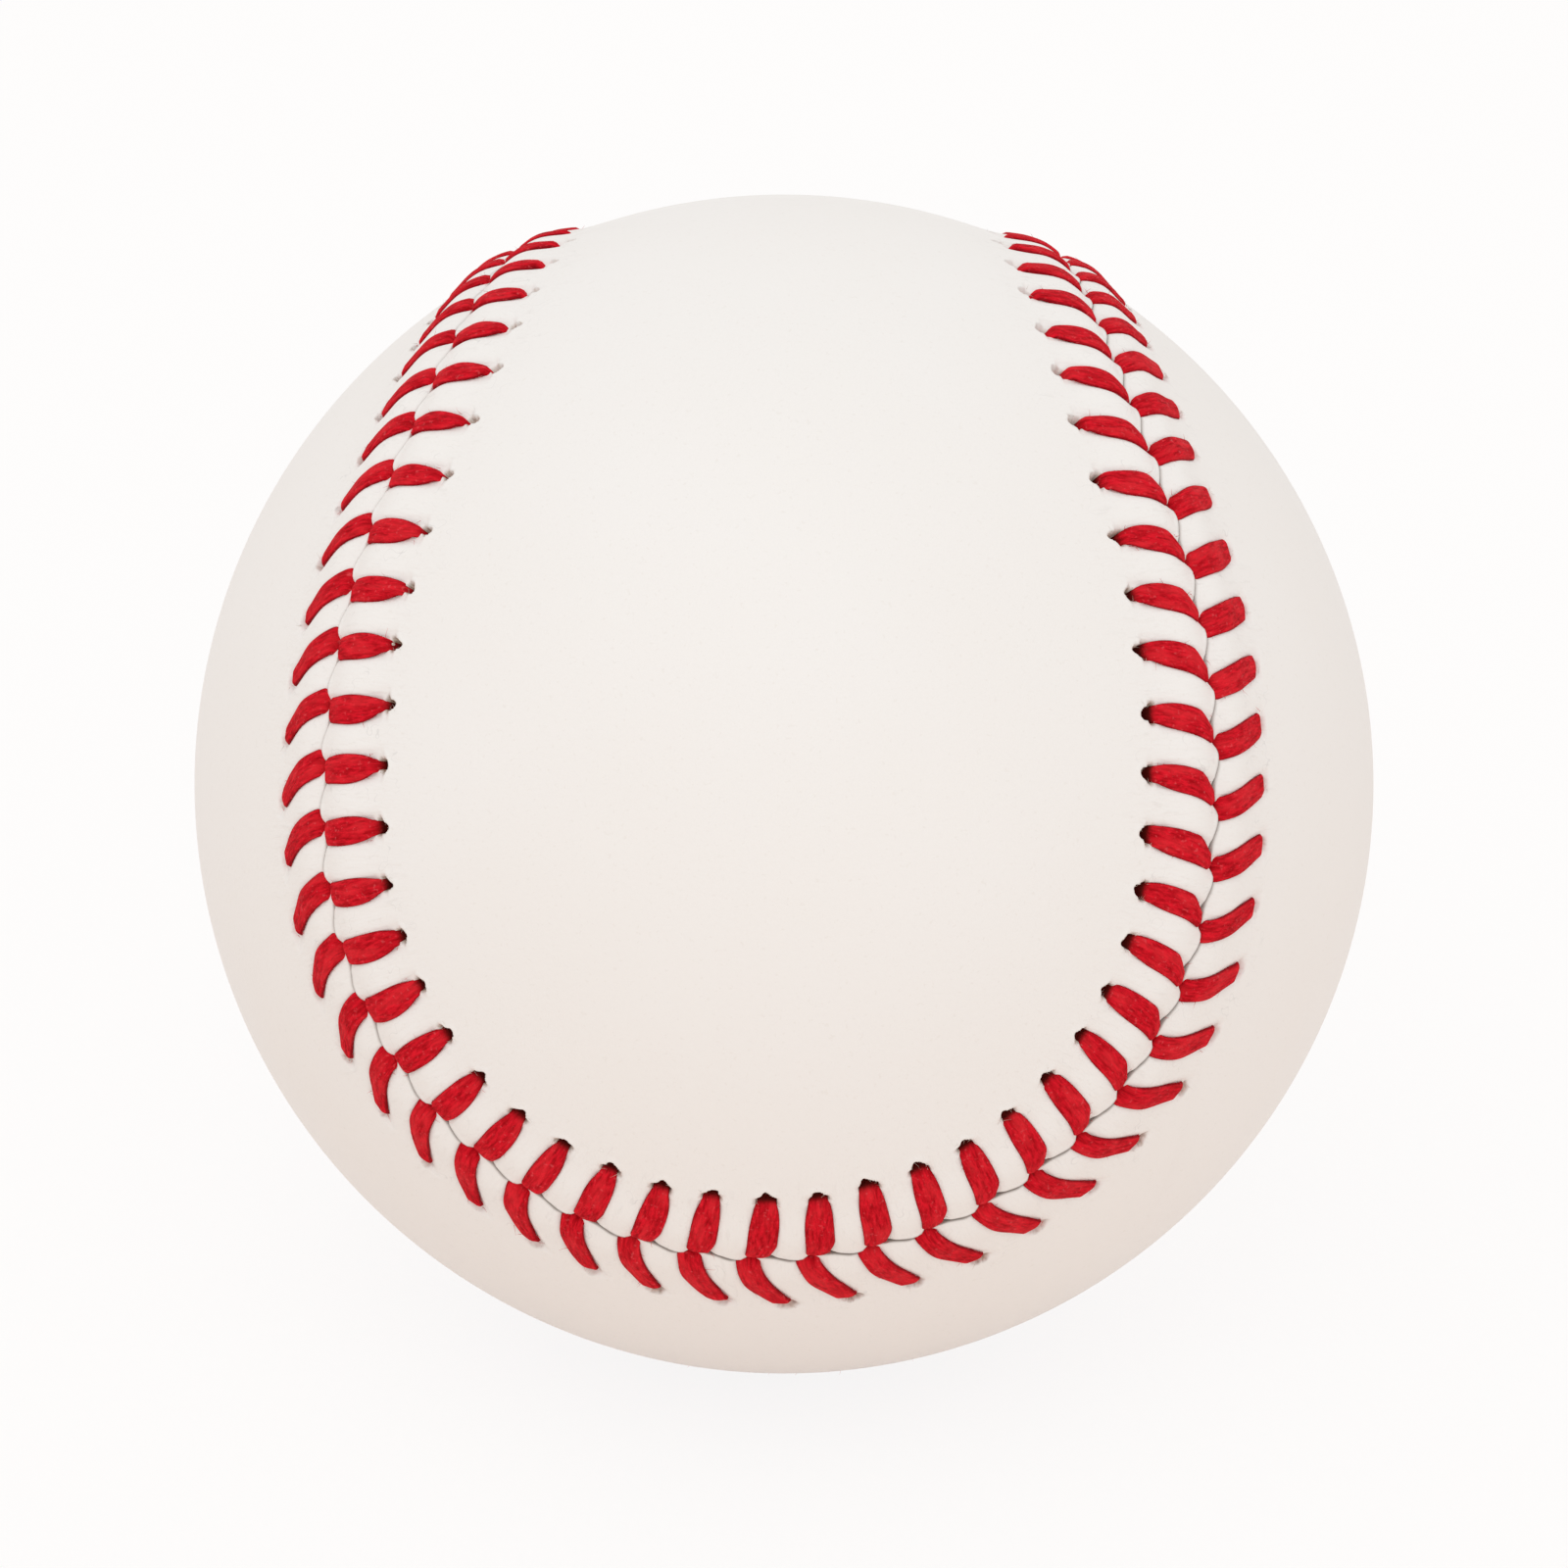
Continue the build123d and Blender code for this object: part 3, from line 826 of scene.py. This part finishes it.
def thread_material():
    """Waxed red thread of fine fibres, with painted shade in the grooves between its plies, along its edges
    and where it goes down into the leather
    """
    material, tree, surface, place = new_material("red_thread", 0.7, specular=0.06)
    strand = kept(tree, "strand", "Vector")
    fibres = noise(tree, stretched(tree, strand, (1.3, 5.0, 5.0), 0.3), 1.0, 4.0, 0.7)
    tint = ranged(tree, fibres, 0.3, 0.7)
    base = mixed(tree, tint, colour(0.36, 0.001, 0.005), colour(0.78, 0.01, 0.024))
    faded = ranged(tree, noise(tree, stretched(tree, strand, (0.5, 1.4, 1.4)), 1.0, 2.0), 0.42, 0.68)
    base = mixed(tree, combined(tree, "MULTIPLY", faded, 0.45), base, colour(0.82, 0.03, 0.04))
    # painted shade in the grooves between the plies
    groove = ranged(tree, kept(tree, "groove", "Fac"), -1.0, -0.6, 0.12, 0.0)
    base = mixed(tree, groove, base, colour(0.22, 0.002, 0.006))
    # painted shade along the thread's edges, where it rounds down onto the leather
    edge = ranged(tree, kept(tree, "edge", "Fac"), 0.88, 1.0, 0.0, 0.7)
    base = mixed(tree, edge, base, colour(0.2, 0.002, 0.006))
    specks = ranged(tree, noise(tree, place, 4.0, 2.0), 0.6, 0.74)
    base = mixed(tree, combined(tree, "MULTIPLY", specks, 0.35), base, colour(0.82, 0.13, 0.14))
    pits = ranged(tree, noise(tree, stretched(tree, strand, (1.2, 3.5, 3.5)), 1.0, 2.0), 0.64, 0.74)
    base = mixed(tree, combined(tree, "MULTIPLY", pits, 0.3), base, colour(0.12, 0.001, 0.004))
    # painted shade where the thread goes down into the leather
    shaded = ranged(tree, kept(tree, "painted_shade", "Fac"), 0.02, 0.3)
    base = mixed(tree, shaded, base, colour(0.1, 0.007, 0.005))
    normal = bumped(tree, fibres, 0.09)
    normal = bumped(tree, noise(tree, place, 14.0, 2.0), 0.03, normal)
    finish_material(tree, surface, base, normal)
    return material


def fray_material():
    """Torn leather fibres, tan to pale"""
    material, tree, surface, place = new_material("torn_leather", 0.8)
    base = mixed(tree, noise(tree, place, 1.2, 1.0), colour(0.3, 0.2, 0.13), colour(0.85, 0.76, 0.66))
    finish_material(tree, surface, base, bumped(tree, noise(tree, place, 20.0), 0.01))
    return material


def cork_material():
    """Ground cork in a dark binder"""
    material, tree, surface, place = new_material("cork", 0.85)
    cells = add_node(tree, "TexVoronoi", {"Vector": place, "Scale": 0.7})
    tint = ranged(tree, cells.outputs["Color"], 0.1, 0.9)
    base = mixed(tree, tint, colour(0.24, 0.12, 0.055), colour(0.56, 0.34, 0.18))
    binder = ranged(tree, cells.outputs["Distance"], 0.55, 0.8)
    base = mixed(tree, binder, base, colour(0.07, 0.04, 0.03))
    finish_material(tree, surface, base, bumped(tree, noise(tree, place, 2.0, 4.0), 0.15))
    return material


def rubber_material(name, dark, light):
    """Moulded rubber with a dusting of talc"""
    material, tree, surface, place = new_material(name, 0.6)
    base = mixed(tree, noise(tree, place, 0.4, 5.0), dark, light)
    finish_material(tree, surface, base, bumped(tree, noise(tree, place, 3.0, 4.0), 0.04))
    return material


def yarn_material(name, dark, light, yarn_width):
    """Wound yarn: layers that cross at several angles, with fuzzy strands"""
    wave_length = 0.314         # of the wave texture at a scale of 1
    material, tree, surface, place = new_material(name, 0.9, sheen=0.3)
    wander = noise(tree, place, 0.05, 2.0)
    turns = []
    for tilt in (0.35, 1.25, 2.3):
        turned = {"Vector": place, "Rotation": (tilt, 0.6 * tilt, tilt)}
        laid = add_node(tree, "Mapping", turned).outputs["Vector"]
        inputs = {"Vector": laid, "Scale": wave_length / yarn_width, "Distortion": 1.2, "Detail": 2.0}
        turns.append(add_node(tree, "TexWave", inputs).outputs["Fac"])
    over = ranged(tree, wander, 0.44, 0.48)
    under = ranged(tree, wander, 0.54, 0.58)
    height = mixed(tree, over, turns[0], turns[1])
    height = mixed(tree, under, height, turns[2])
    fuzz = noise(tree, place, 6.0, 4.0, 0.7)
    # darker where the strands lie low: painted shade between the wound strands
    base = mixed(tree, height, dark, light)
    base = mixed(tree, combined(tree, "MULTIPLY", fuzz, 0.3), base, dark)
    normal = bumped(tree, height, 0.3 * yarn_width)
    finish_material(tree, surface, base, bumped(tree, fuzz, 0.08, normal))
    return material


def cement_material():
    """Dried rubber cement, brushed on in streaks"""
    material, tree, surface, place = new_material("cement", 0.45)
    streaks = noise(tree, stretched(tree, place, (0.15, 1.4, 1.4)), 0.8, 4.0)
    base = mixed(tree, streaks, colour(0.6, 0.5, 0.34), colour(0.78, 0.71, 0.56))
    finish_material(tree, surface, base, bumped(tree, streaks, 0.05))
    return material


gray_yarn_width = 1.3
white_yarn_width = 1.1
finishing_yarn_width = 0.5
gray_yarn = (colour(0.14, 0.135, 0.13), colour(0.4, 0.385, 0.37))
white_yarn = (colour(0.5, 0.47, 0.42), colour(0.82, 0.79, 0.73))
finishing_yarn = (colour(0.55, 0.53, 0.49), colour(0.85, 0.83, 0.78))
materials = {
    "cork": cork_material(),
    "black_rubber": rubber_material("black_rubber", colour(0.012, 0.012, 0.012), colour(0.04, 0.04, 0.04)),
    "red_rubber": rubber_material("red_rubber", colour(0.28, 0.03, 0.025), colour(0.42, 0.07, 0.055)),
    "gray_wool": yarn_material("gray_wool", *gray_yarn, gray_yarn_width),
    "white_wool": yarn_material("white_wool", *white_yarn, white_yarn_width),
    "finishing_yarn": yarn_material("finishing_yarn", *finishing_yarn, finishing_yarn_width),
    "cement": cement_material(),
    "white_leather": leather_material(),
    "red_thread": thread_material(),
}
for subpart in frame["record"]["subparts"]:
    node = frame["nodes"][subpart["node"]]
    node.data.materials.clear()
    node.data.materials.append(materials[subpart["material_slot"]])

panel_a = make_panel("leather_panel_a", legs_a, materials["white_leather"])
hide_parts("cover_panel_a")
panel_b = make_panel("leather_panel_b", legs_b, materials["white_leather"])
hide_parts("cover_panel_b")
thread = make_thread(materials["red_thread"])
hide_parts("lacing_thread")
make_fuzz(materials["red_thread"])
make_frays(fray_material())


# Camera, floor and light

camera_distance = 18 * ball_radius
camera_elevation = radians(30.63)
camera_azimuth = radians(2.06)
camera_roll = radians(-0.33)
ball_share = 1203 / 1600    # width of the ball in the picture
sensor_width = 36.0
floor_size = 4000.0
floor_white = 0.88          # share of the floor's whiteness that no shadow darkens
overhead_place = (-150, -250, 800)
overhead_size = 700
overhead_energy = 0.9
fill_place = (350, -900, 350)
fill_size = 600
fill_energy = 0.5
world_strength = 0.9


def add_camera():
    """Long lens, looking down at the middle of the ball"""
    data = bpy.data.cameras.new("camera")
    data.sensor_width = sensor_width
    data.lens = sensor_width * ball_share / 2 / tan(asin(ball_radius / camera_distance))
    data.clip_end = 10.0
    camera = bpy.data.objects.new("camera", data)
    bpy.context.collection.objects.link(camera)
    level = cos(camera_elevation)
    direction = Vector((level * sin(camera_azimuth), -level * cos(camera_azimuth), sin(camera_elevation)))
    turn = direction.to_track_quat("Z", "Y").to_matrix() @ Matrix.Rotation(camera_roll, 3, "Z")
    camera.matrix_world = Matrix.Translation(direction * camera_distance * MM) @ turn.to_4x4()
    bpy.context.scene.camera = camera


def seen_directly(tree):
    """1 for what the camera, a reflection or a glass shows, and 0 for light"""
    rays = add_node(tree, "LightPath").outputs
    shown = combined(tree, "MAXIMUM", rays["Is Camera Ray"], rays["Is Glossy Ray"])
    return combined(tree, "MAXIMUM", shown, rays["Is Transmission Ray"])


def add_floor():
    """Plain white floor that keeps the ball's shadow"""
    half = floor_size / 2
    corners = np.array([[-half, -half, 0], [half, -half, 0], [half, half, 0], [-half, half, 0]])
    corners[:, 2] = -ball_radius
    mesh = bpy.data.meshes.new("floor")
    mesh.from_pydata((corners * MM).tolist(), [], [[0, 1, 2, 3]])
    floor = bpy.data.objects.new("floor", mesh)
    bpy.context.collection.objects.link(floor)
    material = bpy.data.materials.new("floor")
    material.use_nodes = True
    tree = material.node_tree
    tree.nodes.remove(tree.nodes["Principled BSDF"])
    painted = add_node(tree, "BsdfDiffuse", {"Color": colour(0.93, 0.83, 0.77)}).outputs[0]
    white = add_node(tree, "Emission", {"Color": colour(1, 1, 1), "Strength": 1.0}).outputs[0]
    share = combined(tree, "MULTIPLY", seen_directly(tree), floor_white)
    surface = add_node(tree, "MixShader", {0: share, 1: painted, 2: white}).outputs[0]
    tree.links.new(surface, tree.nodes["Material Output"].inputs["Surface"])
    mesh.materials.append(material)


def add_light(name, place, size, energy):
    """Square soft light that faces the ball"""
    data = bpy.data.lights.new(name, "AREA")
    data.size = size * MM
    data.energy = energy
    light = bpy.data.objects.new(name, data)
    bpy.context.collection.objects.link(light)
    light.location = Vector(place) * MM
    light.rotation_euler = light.location.to_track_quat("Z", "Y").to_euler()


def add_world(strength):
    """Even light from all round, on a white background"""
    world = bpy.data.worlds.new("studio")
    bpy.context.scene.world = world
    world.use_nodes = True
    tree = world.node_tree
    even = tree.nodes["Background"]
    even.inputs["Color"].default_value = colour(1, 1, 1)
    even.inputs["Strength"].default_value = strength
    white = add_node(tree, "Background", {"Color": colour(1, 1, 1), "Strength": 1.0})
    surface = add_node(tree, "MixShader", {0: seen_directly(tree), 1: even.outputs[0], 2: white.outputs[0]})
    tree.links.new(surface.outputs[0], tree.nodes["World Output"].inputs["Surface"])


add_camera()
add_floor()
add_light("overhead", overhead_place, overhead_size, overhead_energy)
add_light("front_fill", fill_place, fill_size, fill_energy)
add_world(world_strength)
bpy.context.scene.view_settings.view_transform = "Standard"
